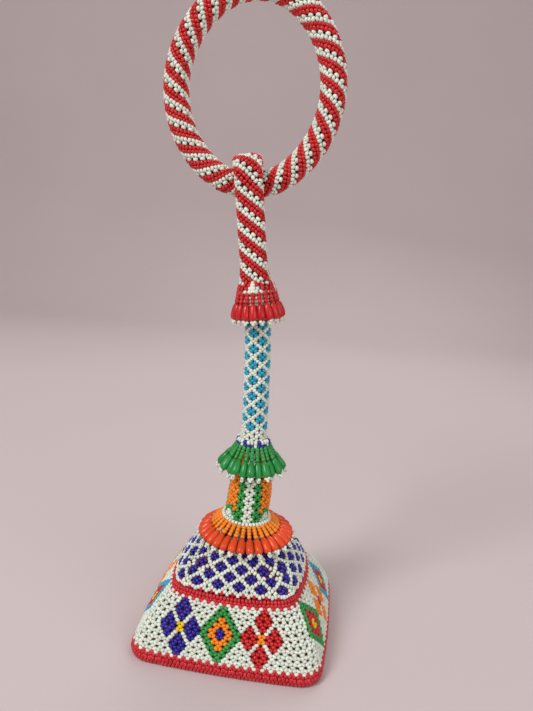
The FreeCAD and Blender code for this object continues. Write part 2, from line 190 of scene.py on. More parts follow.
def cloth(name, colour, thread, scale=1500.0):
    """Plain woven cotton: crossing threads, faded unevenly, matt."""
    finish = Finish(name, sheen_weight=0.25, specular_ior_level=0.2)
    across, side, height = (finish.node("ShaderNodeSeparateXYZ", None,
                                        {"Vector": finish.place()}, axis) for axis in "XYZ")
    warp = ((across + side * 0.31) * (2 * scale)).sine()
    weft = ((height + side) * (2 * scale)).sine()
    weave = warp * weft * 0.5 + 0.5
    fade = finish.noise(120.0, 4.0)
    finish.set("Base Color", finish.mix((weave * 0.35 + fade * 0.6).clamped(), colour, thread))
    finish.set("Roughness", fade * 0.2 + 0.72)
    finish.bump(weave, 0.5, 0.00015)
    return finish.material


def twisted(name, colour, thread):
    """Twisted cotton cord: slanting plies and a little fuzz."""
    finish = Finish(name, sheen_weight=0.3, specular_ior_level=0.2)
    turned = finish.node("ShaderNodeMapping", None,
                         {"Vector": finish.place(), "Rotation": (0.0, 0.6, 0.5)})
    plies = finish.node("ShaderNodeTexWave", {"wave_type": "BANDS", "bands_direction": "DIAGONAL"},
                        {"Vector": turned, "Scale": 330.0, "Distortion": 1.2, "Detail": 2.0}, "Fac")
    fuzz = finish.noise(700.0, 4.0)
    finish.set("Base Color", finish.mix((plies * 0.6 + fuzz * 0.4).clamped(), colour, thread))
    finish.set("Roughness", fuzz * 0.2 + 0.7)
    finish.bump(plies + fuzz * 0.3, 0.6)
    return finish.material


def grained(name, colour, dark, rough=0.6):
    """Wood, cane or board: long fibres with darker streaks."""
    finish = Finish(name, specular_ior_level=0.3)
    drawn = finish.node("ShaderNodeMapping", None,
                        {"Vector": finish.place(), "Scale": (1.0, 1.0, 0.12)})
    fibre = finish.node("ShaderNodeTexNoise", None,
                        {"Vector": drawn, "Scale": 700.0, "Detail": 5.0})
    streak = finish.node("ShaderNodeValToRGB", {"stops": [(0.35, dark), (0.62, colour)]},
                         {"Fac": fibre})
    finish.set("Base Color", streak)
    finish.set("Roughness", fibre * 0.25 + (rough - 0.1))
    finish.bump(fibre, 0.3, 0.0003)
    return finish.material


COLOURS = {
    "white": srgb(230, 239, 224), "red": srgb(206, 22, 24), "rim_red": srgb(206, 30, 40),
    "royal": srgb(36, 26, 150), "turquoise": srgb(34, 170, 202), "green": srgb(44, 156, 70),
    "orange": srgb(252, 143, 10), "yellow": srgb(240, 206, 10),
    "red_drop": srgb(196, 8, 14), "orange_drop": srgb(232, 74, 14), "green_drop": srgb(22, 142, 60),
}
GLASS = {name: glass(name + "_glass", colour)
         for name, colour in COLOURS.items() if "drop" not in name}
GLASS.update({name: glass(name + "_glass", colour, 0.04, 0.22)
              for name, colour in COLOURS.items() if "drop" in name})
lining_cloth = cloth("dark_red_cotton", srgb(124, 30, 42), srgb(166, 54, 62))
handle_cloth = cloth("dark_red_binding_tape", srgb(92, 20, 26), srgb(132, 38, 42))
wadding = cloth("dark_wadding", srgb(50, 30, 32), srgb(84, 56, 54), 900.0)
pale_cord = twisted("pale_cotton_cord", srgb(214, 208, 196), srgb(236, 232, 222))
board = grained("grey_board", srgb(168, 150, 122), srgb(132, 114, 90), 0.8)
pine = grained("turned_pine", srgb(196, 158, 106), srgb(150, 110, 68))
cane = grained("split_cane", srgb(186, 150, 92), srgb(138, 104, 60), 0.5)
seed_skin = grained("dry_seed", srgb(96, 62, 40), srgb(58, 36, 24), 0.45)
for node_name, finish in (
        ("base_board", board), ("head_shell", board), ("neck_plug", pine), ("stem_core", cane),
        ("rattle_seeds", seed_skin), ("stem_knot", pale_cord)):
    for place in nodes[node_name].material_slots:
        place.material = finish


# ---- beads and drops
def to_mesh(name, form):
    mesh = bpy.data.meshes.new(name)
    form.to_mesh(mesh)
    form.free()
    return mesh


def into_piece(name, form, finish, body, replaced):
    """Makes one piece of a bmesh that is already in its place, in metres."""
    mesh = to_mesh(name, form)
    mesh.materials.append(finish)
    mesh.shade_smooth()
    piece = add_object(name, mesh)
    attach(piece, body)
    if replaced:
        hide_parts(*replaced)


def seed_bead():
    """A seed bead of unit diameter and length round the Z axis, with its hole."""
    wall = 0.4
    form = bmesh.new()
    bmesh.ops.create_circle(form, segments=6, radius=0.5)
    upright = Matrix.Rotation(math.pi / 2, 3, "X") @ Matrix.Rotation(math.pi / 6, 3, "Z")
    bmesh.ops.rotate(form, verts=form.verts, cent=(0, 0, 0), matrix=upright)
    bmesh.ops.scale(form, verts=form.verts, vec=(wall, 1.0, 1.0))
    outward = 0.5 - 0.5 * wall * math.cos(math.pi / 6)
    bmesh.ops.translate(form, verts=form.verts, vec=(outward, 0, 0))
    bmesh.ops.spin(form, geom=form.verts[:] + form.edges[:], cent=(0, 0, 0), axis=(0, 0, 1),
                   angle=math.tau, steps=8, use_merge=True)
    bmesh.ops.recalc_face_normals(form, faces=form.faces)
    return form


DROP_BELLY, DROP_NECK = 0.62, 0.74  # where a drop is fullest, and its width at the top


def drop_bead():
    """A drop bead of unit radius and length, hanging from the origin: slim above, full below."""
    form = bmesh.new()
    bmesh.ops.create_uvsphere(form, u_segments=14, v_segments=12, radius=1.0)
    for vert in form.verts:
        share = (1 - vert.co.z) / 2
        reach = abs(share - DROP_BELLY) / (DROP_BELLY if share < DROP_BELLY else 1 - DROP_BELLY)
        around = Vector((vert.co.x, vert.co.y))
        width = 0.0 if around.length < 1e-6 else (1 - min(reach, 1) ** 4.0) ** 0.5
        if share <= DROP_BELLY:
            width *= DROP_NECK + (1 - DROP_NECK) * (share / DROP_BELLY)
        around = around.normalized() * width
        vert.co = Vector((around.x, around.y, -share))
    bmesh.ops.recalc_face_normals(form, faces=form.faces)
    return form


SEED, DROP = to_mesh("seed_bead", seed_bead()), to_mesh("drop_bead", drop_bead())
for kind in (SEED, DROP):
    kind.attributes.new("shade", "FLOAT", "POINT")


def thread_on(name, kind, beads, finish, body, replaced):
    """One piece of many beads; each is (centre, direction of its hole, diameter, length)."""
    flat = np.empty(len(kind.vertices) * 3, np.float32)
    kind.vertices.foreach_get("co", flat)
    unit = flat.reshape(-1, 3).copy()
    form = bmesh.new()
    for centre, direction, diameter, length in beads:
        roll = Matrix.Rotation(chance.uniform(0, math.tau), 3, "Z")
        turned = np.array(direction.to_track_quat("Z", "Y").to_matrix() @ roll)
        size = np.array((diameter, diameter, length))
        placed = ((unit * size) @ turned.T + np.array(centre)) * MM
        kind.vertices.foreach_set("co", placed.astype(np.float32).ravel())
        shade = np.full(len(unit), chance.random(), np.float32)
        kind.attributes["shade"].data.foreach_set("value", shade)
        form.from_mesh(kind)
    kind.vertices.foreach_set("co", flat)
    into_piece(name, form, finish, body, replaced)


def seed_size(diameter=SEED_BEAD, room=None):
    """Diameter and length of one hand-sorted seed bead; room is the stretch of thread it has."""
    grown = chance.uniform(0.95, 1.04)
    length = SEED_LENGTH * chance.uniform(0.93, 1.05)
    return diameter * grown, length if room is None else min(length, room * 0.99)


def bead_between(ends, size):
    """A bead with its hole along the line between two points."""
    return ((ends[0] + ends[1]) / 2, (ends[1] - ends[0]).normalized(), *size)


def net(place, columns, rows, colour_at, diameter=SEED_BEAD, crossing=(0.0, 0.2)):
    """Beads of a diamond net, sorted by colour.

    place(x, y) gives a spot on the net, x in cells round it and y in rows up it, or None outside.
    A bead lies where threads cross and one half way along each thread between two crossings. The
    hole of a bead at a crossing points along crossing, in cells and rows.
    """
    sorted_beads = {}
    for row in rows:
        for column in columns:
            x = column + (row % 2) / 2
            for across, up, run, rise in ((x, row, *crossing), (x + 0.25, row + 0.5, 0.25, 0.5),
                                          (x - 0.25, row + 0.5, -0.25, 0.5)):
                ends = [place(across + side * run / 2, up + side * rise / 2, across, up)
                        for side in (-1, 1)]
                if None in ends:
                    continue
                room = (ends[1] - ends[0]).length if rise == 0.5 else None
                bead = bead_between(ends, seed_size(diameter, room))
                sorted_beads.setdefault(colour_at(across, up), []).append(bead)
    return sorted_beads


def gather(*groups):
    """Several sorted lots of beads put together."""
    whole = {}
    for group in groups:
        for colour, beads in group.items():
            whole.setdefault(colour, []).extend(beads)
    return whole


def lay(section, sorted_beads, body, slot, replaced, white_slot=None):
    """One piece of each colour for a section of beadwork."""
    for colour, beads in sorted(sorted_beads.items()):
        own_slot = white_slot if white_slot and colour == "white" else slot
        thread_on("%s_%s_beads" % (section, colour), SEED, beads, GLASS[colour], body,
                  replaced)


NEXT = 0.002  # a small step round a closed row, for its direction


def circle_of_beads(point, count, colour_at, diameter=SEED_BEAD, offset=0.0):
    """A closed row of beads; point(share) goes once round it as share goes from 0 to 1."""
    sorted_beads = {}
    for index in range(count):
        share = (index + offset) / count
        here, after = point(share), point(share + NEXT)
        bead = (here, (after - here).normalized(), *seed_size(diameter))
        sorted_beads.setdefault(colour_at(index), []).append(bead)
    return sorted_beads


# ---- skins: cloth and wadding drawn through stations
def skin(name, stations, finish, body, replaced, closed=False):
    """A smooth skin through stations, each a list of points in order round it.

    Its ends are closed with a face each, or, where closed is set, joined to each other.
    """
    form = bmesh.new()
    count = len(stations[0])
    ring = bmesh.ops.create_circle(form, segments=count, radius=1.0)["verts"]
    edges = form.edges[:]
    for vert, point in zip(ring, stations[0]):
        vert.co = point * MM
    first, first_edges = ring, edges
    for station in stations[1:]:
        grown = bmesh.ops.extrude_edge_only(form, edges=edges)["geom"]
        edges = [item for item in grown if isinstance(item, bmesh.types.BMEdge)
                 and len(item.link_faces) == 1]
        partner = {}
        for vert in (item for item in grown if isinstance(item, bmesh.types.BMVert)):
            below = next(edge.other_vert(vert) for edge in vert.link_edges
                         if edge.other_vert(vert) in ring)
            partner[below] = vert
        ring = [partner[vert] for vert in ring]
        for vert, point in zip(ring, station):
            vert.co = point * MM
    if closed:
        bmesh.ops.bridge_loops(form, edges=first_edges + edges)
    else:
        for loop in (first, ring):
            form.faces.new(loop)
    bmesh.ops.recalc_face_normals(form, faces=form.faces)
    into_piece(name, form, finish, body, replaced)


# ---- the head's form: rounded squares with bowed sides, level by level
def head_level(z):
    """Half width, corner radius and side bow of the outer form at a height."""
    if z < BELLY_Z:
        return BASE_HALF - BASE_TUCK * (1 - z / BELLY_Z) ** 2, CORNER_RADIUS, BASE_BOW
    if z <= BORDER_Z:
        share = (z - BELLY_Z) / (BORDER_Z - BELLY_Z)
        half = BASE_HALF + share * (BORDER_HALF - BASE_HALF) + 4 * SKIRT_BULGE * share * (1 - share)
        return half, CORNER_RADIUS, BASE_BOW + share * (BORDER_BOW - BASE_BOW)
    share = (z - BORDER_Z) / (CROWN_Z - BORDER_Z)
    half = CROWN_RADIUS + (BORDER_HALF - CROWN_RADIUS) * (1 - share ** YOKE_ROUNDING)
    corner = CORNER_RADIUS + (YOKE_CORNER - CORNER_RADIUS) * min(1.6 * share, 1)
    return half, min(corner, 0.985 * half), max(BORDER_BOW * (1 - share), 0.05)


def head_section(z):
    half, corner, bow = head_level(z)
    straight = half - corner
    side = max(straight ** 2 / (2 * bow), 1.02 * half)
    offset = side - half
    middle = (math.sqrt(max(2 * (side - corner) ** 2 - offset ** 2, 0)) - offset) / 2
    return corner, side, offset, middle, math.atan2(middle, middle + offset)


def half_face(z):
    """Length round the form from the middle of a face to a corner."""
    corner, side, offset, middle, sweep = head_section(z)
    return side * sweep + corner * (math.pi / 4 - sweep)


def head_outline(quarter, along, z):
    """A point of the outer form, along being the length from the middle of a face."""
    corner, side, offset, middle, sweep = head_section(z)
    reach = abs(along)
    if reach <= side * sweep:
        angle, radius, centre = reach / side, side, (-offset, 0.0)
    else:
        angle, radius, centre = sweep + (reach - side * sweep) / corner, corner, (middle, middle)
    x = centre[0] + radius * math.cos(angle)
    y = math.copysign(centre[1] + radius * math.sin(angle), along)
    return Matrix.Rotation(quarter * math.pi / 2, 3, "Z") @ Vector((x, y, z))


HEIGHTS = np.linspace(0, CROWN_Z, 1201)
HALF_WIDTHS = np.array([head_level(z)[0] for z in HEIGHTS])
CLIMB = np.concatenate([[0], np.cumsum(np.hypot(np.diff(HEIGHTS), np.diff(HALF_WIDTHS)))])


def height_at(climb):
    """Height reached after climbing a given length up the middle of a face."""
    return float(np.interp(climb, CLIMB, HEIGHTS))


def head_point(quarter, along, z, inset=NET_MIDDLE):
    """A point inside the outer form by inset, square to its surface."""
    here = head_outline(quarter, along, z)
    low, high = max(z - 0.3, 0.0), min(z + 0.3, CROWN_Z)
    rise = head_outline(quarter, along, high) - head_outline(quarter, along, low)
    run = head_outline(quarter, along + 0.2, z) - head_outline(quarter, along - 0.2, z)
    return here - run.cross(rise).normalized() * inset


# ---- nets of the head
# Each face, in quarter turns round the head: its three motifs from left to right as (kind, outer,
# middle, inner). SKIRT_SHIFTS and YOKE_SHIFTS say how far each face's net stands off its middle.
FACES = (
    (("diamond", "green", "red", "yellow"), ("flower", "orange", None, "red"),
     ("diamond", "turquoise", "red", "yellow")),
    (("flower", "royal", None, "yellow"), ("diamond", "turquoise", "orange", "royal"),
     ("flower", "red", None, "orange")),
    (("diamond", "green", "yellow", "royal"), ("flower", "orange", None, "red"),
     ("diamond", "turquoise", "red", "yellow")),
    (("flower", "royal", None, "yellow"), ("diamond", "green", "orange", "royal"),
     ("flower", "red", None, "orange")),
)
SKIRT_SHIFTS = (-3.6, 0.0, 0.6, -2.4)
YOKE_SHIFTS = (-1.7, -1.7, -1.7, -1.7)
SKIRT_CELL, SKIRT_ROW, SKIRT_MIDDLE = 4.21, 2.74, 20.95
MOTIF_STEP, LAST_SKIRT_ROW = 5, 5.2  # past that row the beads belong to the rim and the border
RIM_TOP = 15.0  # any height between the rim and the border
RIM_ROWS, BORDER_ROW = ((1.3, 0.0), (3.5, 0.5)), (37.5, 0.0)  # climb and offset, in beads
SKIRT_PICOT, YOKE_PICOT = (2.3, 2.6), (2.1, 3.3)  # diameter and length
YOKE_CELL, YOKE_ROW, YOKE_START, YOKE_BEAD = 5.6, 2.16, 39.98, 2.35
SAG, SAG_REACH = 1.7, 27.0  # the yoke's rows droop towards the corners
SKIRT_SLACK, YOKE_SLACK = 2.5, 2.4  # cells next to a corner that take up the odd width


def face_place(face, shifts, cell, slack, climb_of, whole=1):
    """place(x, y) for the net on one face, from corner to corner.

    Two faces share a number of cells between their middles that divides by whole, so that their
    nets meet at the corner, and the last cells before it, slack of them, take up the odd width.
    Where whole is 2, it is settled for two rows at a time, so that a motif of three half rows
    stays whole.
    """
    shift = shifts[face]

    def cells_to_corner(side, neighbour, fitted):
        own = (fitted - side * shift) / cell
        shared = own + (fitted + side * neighbour) / cell
        return own + (whole * round(shared / whole) - shared) / 2

    def place(x, y, middle_x, middle_y):
        half = half_face(height_at(climb_of(middle_y)))
        right, left = (half - shift) / cell, (half + shift) / cell
        settled = whole * math.floor((middle_y + 1) / whole) if whole > 1 else middle_y
        fitted = half_face(height_at(climb_of(settled)))
        right_cells = cells_to_corner(1, shifts[(face + 1) % 4], fitted)
        left_cells = cells_to_corner(-1, shifts[face - 1], fitted)
        if not -left_cells <= middle_x < right_cells:
            return None
        reach, cells = (right, right_cells) if x > 0 else (left, left_cells)
        firm = max(cells - slack, 0)
        measured = abs(x)
        if measured > firm:
            measured = firm + (measured - firm) * (reach - firm) / (cells - firm)
        along = shift + math.copysign(measured, x) * cell
        climb = climb_of(y, along)
        z = height_at(climb)
        return head_point(face, along * half_face(z) / half, z)

    return place


def skirt_climb(row, along=0.0):
    return SKIRT_MIDDLE + SKIRT_ROW * row


def yoke_climb(row, along=0.0):
    return YOKE_START + YOKE_ROW * row - SAG * min(row, 1) * (along / SAG_REACH) ** 2


def motif_colour(motif, u, v):
    kind, outer, middle, inner = motif
    far = max(abs(u), abs(v))
    if kind == "flower":
        if abs(u) + abs(v) <= 0.6:
            return inner
        return outer if min(abs(u), abs(v)) >= 0.5 and far <= 2.5 else None
    return inner if far <= 0.5 else middle if far <= 1.5 else outer if far <= 2.5 else None


def picots(place, columns, row, lift, size):
    """Beads that stand in the open cells of one row of a net, a share of a row off its middle."""
    beads = []
    for column in columns:
        x = column + (row + 1) % 2 / 2
        ends = [place(x, row + lift + side * 0.2, x, row + lift) for side in (-1, 1)]
        if None not in ends:
            beads.append(bead_between(ends, size))
    return beads


def skirt_colour(face):
    def colour(x, y):
        if abs(y) > LAST_SKIRT_ROW:
            return "rim_red"
        for index, motif in enumerate(FACES[face]):
            across = x - MOTIF_STEP * (index - 1)
            found = motif_colour(motif, y / 2 + across, y / 2 - across)
            if found:
                return found
        return "white"
    return colour


def small_diamond(x, y):
    """Whether a bead belongs to one of the small diamonds strewn over a net."""
    u, v = y / 2 + x, y / 2 - x
    return abs(u - 2 * round(u / 2)) + abs(v - 2 * round(v / 2)) <= 0.5


def yoke_colour(x, y):
    return "royal" if y > 1 and small_diamond(x, y) else "white"


HEAD_EASE, STEM_EASE = 1.02, 1.03  # spacing of the beads in a closed row, in bead lengths


def head_row(climb, offset):
    """A closed row of red beads round the head."""
    z = height_at(climb)
    half = half_face(z)
    count = 4 * round(2 * half / (SEED_LENGTH * HEAD_EASE))

    def point(share):
        quarter, part = divmod(share % 1.0 * 4, 1.0)
        return head_point(int(quarter), (2 * part - 1) * half, z)

    return circle_of_beads(point, count, lambda index: "rim_red", offset=offset)


def build_head():
    skirt, yoke, low = {}, {}, []
    for face in range(4):
        place = face_place(face, SKIRT_SHIFTS, SKIRT_CELL, SKIRT_SLACK, skirt_climb)
        skirt = gather(skirt, net(place, range(-13, 14), range(-6, 6), skirt_colour(face)))
        low += picots(place, range(-13, 14), -5, -0.08, SKIRT_PICOT)
        low += picots(place, range(-13, 14), 5, 0.08, SKIRT_PICOT)
        place = face_place(face, YOKE_SHIFTS, YOKE_CELL, YOKE_SLACK, yoke_climb, 2)
        beads = net(place, range(-8, 9), range(15), yoke_colour, YOKE_BEAD, (0.2, 0.0))
        yoke = gather(yoke, beads)
        low += picots(place, range(-8, 9), 0, 0.35, YOKE_PICOT)
    low += skirt.pop("rim_red")
    rim = gather({"rim_red": [bead for bead in low if bead[0].z < RIM_TOP]},
                 *(head_row(climb, offset) for climb, offset in RIM_ROWS))
    border = gather({"rim_red": [bead for bead in low if bead[0].z >= RIM_TOP]},
                    head_row(*BORDER_ROW))
    lay("skirt", skirt, "body", "white_net", ["skirt_net"])
    lay("yoke", yoke, "body", "white_net", ["yoke_net"])
    lay("rim", rim, "body", "red_beads", ["bottom_rim"])
    lay("border", border, "body", "red_beads", ["middle_border"])


def head_ring(z, inset, shrink=1.0):
    """Points round the head at one level."""
    half = half_face(z)
    ring = [head_point(quarter, (2 * (step + 0.5) / 26 - 1) * half, z, inset)
            for quarter in range(4) for step in range(26)]
    return [Vector((p.x * shrink, p.y * shrink, p.z)) for p in ring]


def build_head_cloth():
    stations = [head_ring(0.9, BEAD_LAYER + 0.9)]
    stations += [head_ring(z, BEAD_LAYER + 0.05) for z in np.linspace(0.9, CROWN_Z - 0.6, 40)]
    skin("head_lining_cloth", stations, lining_cloth, "body", ["head_lining"])
    stations = [head_ring(0.9, BEAD_LAYER + 0.3), head_ring(0.35, BEAD_LAYER + 0.05)]
    for shrink in (0.985, 0.95, 0.9, 0.8, 0.65, 0.5, 0.35, 0.2, 0.08):
        ring = head_ring(0.35, BEAD_LAYER + 0.05, shrink)
        for index, point in enumerate(ring):
            pucker = noise.noise(Vector((point.x * 0.06, point.y * 0.06, 3.0)))
            gather_in = math.sin(index * 1.9) * 0.12 * max(shrink - 0.7, 0) / 0.3
            point.z = 0.3 + 0.22 * pucker + gather_in
        stations.append(ring)
    skin("base_cloth_cover", stations, lining_cloth, "body", ["base_cloth"])


# ---- stem
NECK_CELLS, NECK_ROW, NECK_FRONT = 15, 2.5, -80.0
NECK_BULGE, BULGE_FOOT, BULGE_TOP = 1.4, 7.0, 40.0  # the soft neck swells towards +X
STEM_CELLS, STEM_ROW, STEM_FRONT = 8, 2.1, -102.0
STEM_FLARE, FLARE_LENGTH = 0.7, 11.0  # the stem's net widens at its foot
TAPE = 0.6  # thickness of the cloth tape wound round the core
LAP = 0.22  # step where one turn of it lies over the last


def stem_turn(s):
    return Matrix.Rotation(math.radians(CROWN_LEAN) - s / BOW_RADIUS, 3, "Y")


def stem_point(s):
    start = math.radians(CROWN_LEAN)
    here = start - s / BOW_RADIUS
    x = BOW_RADIUS * (math.cos(here) - math.cos(start))
    return Vector((x, 0, CROWN_Z + BOW_RADIUS * (math.sin(start) - math.sin(here))))


def oval_spot(across, along, angle, z=0.0):
    return Vector((across * math.cos(angle), along * math.sin(angle), z))


def round_stem(s, angle, radius):
    return stem_point(s) + stem_turn(s) @ oval_spot(radius, radius, angle)


def neck_radius(s):
    return float(np.interp(s / NECK_LENGTH, NECK_SHARES, NECK_RADII))


def neck_reach(s, angle):
    """Outer radius of the neck's net at an angle round it, bulge included."""
    up = min(max((s - BULGE_FOOT) / (BULGE_TOP - BULGE_FOOT), 0), 1)
    return neck_radius(s) + NECK_BULGE * math.sin(math.pi * up) * max(math.cos(angle), 0)


def neck_place(x, y, middle_x, middle_y):
    s = 3.6 + NECK_ROW * y
    if s > NECK_LENGTH - 0.3:
        return None
    angle = math.radians(NECK_FRONT) + math.tau * x / NECK_CELLS
    return round_stem(s, angle, neck_reach(s, angle) - NET_MIDDLE)


def neck_colour(x, y):
    """White columns, green edges and orange panels, each panel notched with white at its foot."""
    from_panel = abs(x % 5 - 2.5)
    notch = from_panel + 0.45 * y
    if from_panel > 1.9 or notch < 1.05:
        return "white"
    return "green" if from_panel > 1.1 or notch < 1.5 else "orange"


def stem_place(x, y, middle_x, middle_y):
    s = NECK_LENGTH + 6.0 + STEM_ROW * y
    if s > STEM_LENGTH + 0.1:
        return None
    radius = STEM_NET - NET_MIDDLE + STEM_FLARE * max(0.0, 1 - (s - BLUE_BAND_S) / FLARE_LENGTH)
    return round_stem(s, math.radians(STEM_FRONT) + math.tau * x / STEM_CELLS, radius)


def stem_colour(x, y):
    return "turquoise" if y >= 2.7 and small_diamond(x, y) else "white"


def wound_tube(low, high, radius_at, turns_apart=3.2):
    """Stations of cloth tape wound round the stem, each turn lapping the last."""
    stations = []
    for s in np.linspace(low, high, int((high - low) / 1.1)):
        ring = []
        for step in range(28):
            angle = math.tau * step / 28
            lap = ((s / turns_apart + step / 28) % 1.0) * LAP
            ring.append(round_stem(float(s), angle, radius_at(float(s), angle) - LAP + lap))
        stations.append(ring)
    return stations


def build_stem():
    lay("neck", net(neck_place, range(NECK_CELLS), range(16), neck_colour, 2.35), "body",
        "striped_neck", ["neck_net"])
    lay("stem", net(stem_place, range(STEM_CELLS), range(-2, 34), stem_colour, 2.25), "body",
        "white_net", ["stem_net"])
    wound = wound_tube(0, NECK_LENGTH, lambda s, angle: neck_reach(s, angle) - BEAD_LAYER, 5.0)
    skin("neck_wadding", wound, wadding, "body", ["neck_padding"])
    wound = wound_tube(NECK_LENGTH, STEM_LENGTH, lambda s, angle: CORE_RADIUS + TAPE)
    skin("stem_cloth_tape", wound, lining_cloth, "body", ["stem_wrap"])


def stem_row(s, radius):
    """The line of a closed row of beads round the stem, and how many go on it."""
    def point(share):
        return round_stem(s, math.tau * share, radius)
    return point, round(math.tau * radius / (SEED_LENGTH * STEM_EASE))


BLUE_BAND_ROWS = (  # height of each row on the band, and its colours in turn
    (1.3, ("royal", "royal", "royal", "white")),
    (3.1, ("royal", "white", "white", "white")),
)


def build_bands():
    point, count = stem_row(WHITE_RING_S + 0.6, neck_radius(3) + 0.5)
    lay("ring_of_neck", circle_of_beads(point, count, lambda index: "white"), "body",
        "white_beads", ["white_ring"])
    rows = []
    for lift, colours in BLUE_BAND_ROWS:
        point, count = stem_row(BLUE_BAND_S + lift, STEM_NET + 1.05)
        rows.append(circle_of_beads(point, 4 * round(count / 4), lambda index: colours[index % 4],
                                    offset=-0.7))
    lay("blue_band", gather(*rows), "body", "blue_beads", ["blue_band"], "white_beads")


# ---- fringes
TIGHT = 1.3  # beads pushed together on a strand, against their spacing
STRAND_PITCH = 1.75  # nearly the spacing of the seed beads down a strand
PICOT = ((-0.8, 0.5), (0.8, 0.5), (0.0, 1.6))  # sideways and down, of the three beads at its end
PICOT_BEAD = (1.75, 1.5)  # their diameter and length
ORANGE_SIZES = (5.2, 9.0, 2.22, 2.3)
GREEN_SIZES = (5.6, 8.8, 2.2, 2.1)
RED_SIZES = (5.4, 9.0, 2.2, 2.3)
ORANGE_ROOT, GREEN_ROOT, RED_ROOT = (14.6, 14.6), (9.6, 9.6), (9.4, 12.2)  # half axes
ORANGE_CORD = 12.75  # radius at which it is tied
ORANGE_TILT, ORANGE_TIP = 53.0, 6.8  # degrees out from the stem, and more or less to each side
GREEN_TILT, GREEN_STAGGER, RED_TILT = 31.0, 4.0, 13.0


def hung(spot, lean, origin):
    """The turn and the origin of a strand: spot is (root, direction it points to, tilt)."""
    root, azimuth, tilt = spot
    angle = math.radians(azimuth)
    axis = Vector((math.sin(angle), -math.cos(angle), 0))
    own = Matrix.Rotation(math.radians(tilt), 3, axis)
    return lean @ own, origin + lean @ root


def fringe(name, sizes, places, lean, origin, over_root=1):
    """Strands of seed beads, a drop bead and a white picot, one piece of each kind a quarter.

    sizes are the length of the seed beads, the drop's length and radius, and the seeds' diameter.
    The beads over a strand's root, over_root of them, stay on the cord when the strand swings.
    """
    seeds, pendant = name + "_beads", name + "_drop"
    beads, drop, radius, seed = sizes
    count = round(beads / STRAND_PITCH)
    roots = []
    for quarter, spots in places.items():
        body = "%s_fringe_%s" % (name, quarter)
        strands, drops = "%s_strands_%s" % (name, quarter), "%s_drops_%s" % (name, quarter)
        small, large, tips = [], [], []
        for spot in spots:
            turned, start = hung(spot, lean, origin)
            turned = turned @ Matrix.Rotation(chance.uniform(-0.035, 0.035), 3, "X")
            down = turned @ Vector((0, 0, -1))
            for index in range(-over_root, count):
                size = (seed * chance.uniform(0.96, 1.04), TIGHT * beads / count)
                lot = roots if index < 0 else small
                lot.append((start + down * (beads * (index + 0.5) / count), down, *size))
            wide = 2 * radius * chance.uniform(0.98, 1.06)
            large.append((start + down * beads, -down, wide / 2, drop))
            twist = Matrix.Rotation(chance.uniform(0, math.pi), 3, "Z")
            across = turned @ twist @ Vector((1, 0, 0))
            end = start + down * (beads + drop)
            for side, fall in PICOT:
                lie = (across if side == 0 else (across * side + down)).normalized()
                tips.append((end + across * side + down * fall, lie, *PICOT_BEAD))
        thread_on(strands + "_beads", SEED, small, GLASS[name], body, [strands])
        thread_on(strands + "_picots", SEED, tips, GLASS["white"], body, [strands])
        thread_on(drops + "_glass", DROP, large, GLASS[pendant], body, [drops])
    if roots:
        thread_on(name + "_fringe_roots", SEED, roots, GLASS[name], "body", None)


def strand_places(halves, count, tilt_of):
    """Spots of a fringe's strands round an oval with these half axes, count to a quarter."""
    across, along = halves
    places = {}
    for quarter, middle in QUARTERS.items():
        places[quarter] = []
        for index in range(count):
            azimuth = middle + 90.0 / count * (index - (count - 1) / 2)
            angle = math.radians(azimuth)
            outward = math.atan2(across * math.sin(angle), along * math.cos(angle))
            places[quarter].append((oval_spot(across, along, angle), math.degrees(outward),
                                    tilt_of(index, azimuth)))
    return places


def build_fringes():
    places = strand_places(ORANGE_ROOT, 8, lambda index, azimuth:
                           ORANGE_TILT + ORANGE_TIP * math.cos(math.radians(azimuth)))
    fringe("orange", ORANGE_SIZES, places, stem_turn(ORANGE_CORD_S), stem_point(ORANGE_CORD_S))
    places = strand_places(GREEN_ROOT, 6, lambda index, azimuth:
                           GREEN_TILT + (GREEN_STAGGER if index % 2 else -GREEN_STAGGER))
    fringe("green", GREEN_SIZES, places, stem_turn(GREEN_CORD_S), stem_point(GREEN_CORD_S))
    places = strand_places(RED_ROOT, 5, lambda index, azimuth: RED_TILT)
    origin = loop_point(Vector((0, 0, RED_CORD_Z)))
    fringe("red", RED_SIZES, places, LOOP_TURN, origin, over_root=0)


CORD_SEAT, CORD_THICK = 0.65, 0.62  # height of a cord's middle line over its seat, its radius


def cord_ring(colour, point, body, plies=40):
    """A fringe's twisted cord tied round; point(angle) is on its middle line."""
    stations = []
    for step in range(plies * 2):
        share = step / (plies * 2)
        here, after = point(math.tau * share), point(math.tau * (share + NEXT))
        ahead = (after - here).normalized()
        side = ahead.cross(Vector((0, 0, 1))).normalized()
        lift = side.cross(ahead)
        ring = []
        for index in range(8):
            angle = math.tau * index / 8
            radius = CORD_THICK * (1 + 0.16 * math.cos(2 * angle + share * plies * math.pi))
            ring.append(here + (side * math.cos(angle) + lift * math.sin(angle)) * radius)
        stations.append(ring)
    name = colour + "_fringe_cord"
    skin(name + "_twist", stations, pale_cord, body, [name], closed=True)


